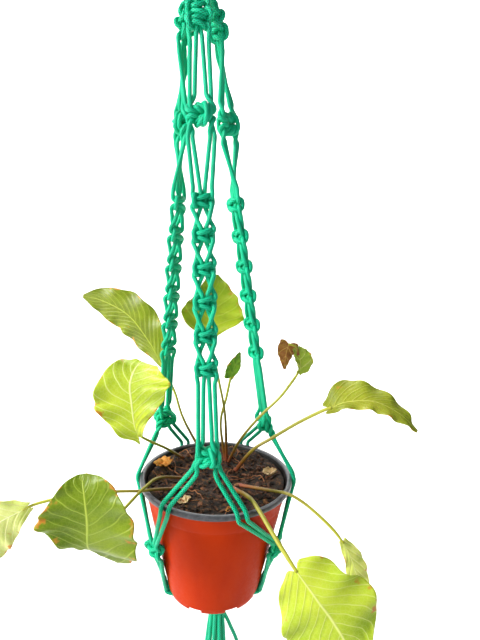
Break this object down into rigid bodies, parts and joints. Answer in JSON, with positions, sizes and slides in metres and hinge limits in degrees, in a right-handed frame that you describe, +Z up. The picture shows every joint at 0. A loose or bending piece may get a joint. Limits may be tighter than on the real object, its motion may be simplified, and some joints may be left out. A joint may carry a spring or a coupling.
{
  "type": "hanging macrame planter",
  "caption": "Knotted cord plant hanger with three arms holding a tapered nursery pot of soil and a leafy plant, tassel below.",
  "frame": {"origin": "top of the inside of the hanging loop, where it sits on its hook", "axes": "+Z up along the plumb line, +Y from the front arm towards the back, +X to the right seen from the front"},
  "size_m": [0.385, 0.2198, 0.7878],
  "materials": {
    "green_cord": "satin braid",
    "pot_plastic": "satin",
    "potting_soil": "rough",
    "leaf": "matt"
  },
  "bodies": {
    "hanger": {"back_cradle_knot": "green_cord", "cord_a": "green_cord", "cord_b": "green_cord", "cord_c": "green_cord", "cord_d": "green_cord", "cord_e": "green_cord", "cord_f": "green_cord", "front_rim_knot": "green_cord", "front_square_knot_1": "green_cord", "front_square_knot_2": "green_cord", "front_square_knot_3": "green_cord", "front_square_knot_4": "green_cord", "front_square_knot_5": "green_cord", "front_square_knot_6": "green_cord", "front_top_knot": "green_cord", "front_upper_knot": "green_cord", "left_cradle_knot": "green_cord", "left_rim_knot": "green_cord", "left_square_knot_1": "green_cord", "left_square_knot_2": "green_cord", "left_square_knot_3": "green_cord", "left_square_knot_4": "green_cord", "left_square_knot_5": "green_cord", "left_square_knot_6": "green_cord", "left_top_knot": "green_cord", "left_upper_knot": "green_cord", "right_cradle_knot": "green_cord", "right_rim_knot": "green_cord", "right_square_knot_1": "green_cord", "right_square_knot_2": "green_cord", "right_square_knot_3": "green_cord", "right_square_knot_4": "green_cord", "right_square_knot_5": "green_cord", "right_square_knot_6": "green_cord", "right_top_knot": "green_cord", "right_upper_knot": "green_cord", "top_wrap": "green_cord"},
    "potted_plant": {"nursery_pot": "pot_plastic", "soil": "potting_soil", "back_leaves": "leaf", "broad_left_leaf": "leaf", "curled_left_leaf": "leaf", "curved_right_leaf": "leaf", "far_left_leaf": "leaf", "folded_right_leaf": "leaf", "long_upper_left_leaf": "leaf", "low_right_leaf": "leaf"},
    "base_knot": {"base_wrap": "green_cord"},
    "tassel": {"tassel_tail_1": "green_cord", "tassel_tail_2": "green_cord", "tassel_tail_3": "green_cord", "tassel_tail_4": "green_cord", "tassel_tail_5": "green_cord", "tassel_tail_6": "green_cord", "tassel_tail_7": "green_cord", "tassel_tail_8": "green_cord", "tassel_tail_9": "green_cord", "tassel_tail_10": "green_cord", "tassel_tail_11": "green_cord", "tassel_tail_12": "green_cord"}
  },
  "joints": [
    {"name": "pot_turn", "type": "hinge", "parent": "hanger", "child": "potted_plant", "pos_m": [0.027, 0, -0.478], "axis": [0, 0, 1], "range_deg": [-1.5, 5]},
    {"name": "base_knot_swing", "type": "hinge", "parent": "hanger", "child": "base_knot", "pos_m": [0.031, 0, -0.603], "axis": [1, 0, 0], "range_deg": [-5, 5]},
    {"name": "tassel_swing", "type": "hinge", "parent": "base_knot", "child": "tassel", "pos_m": [0.031, 0, -0.6234], "axis": [0, 1, 0], "range_deg": [-12, 12]}
  ]
}
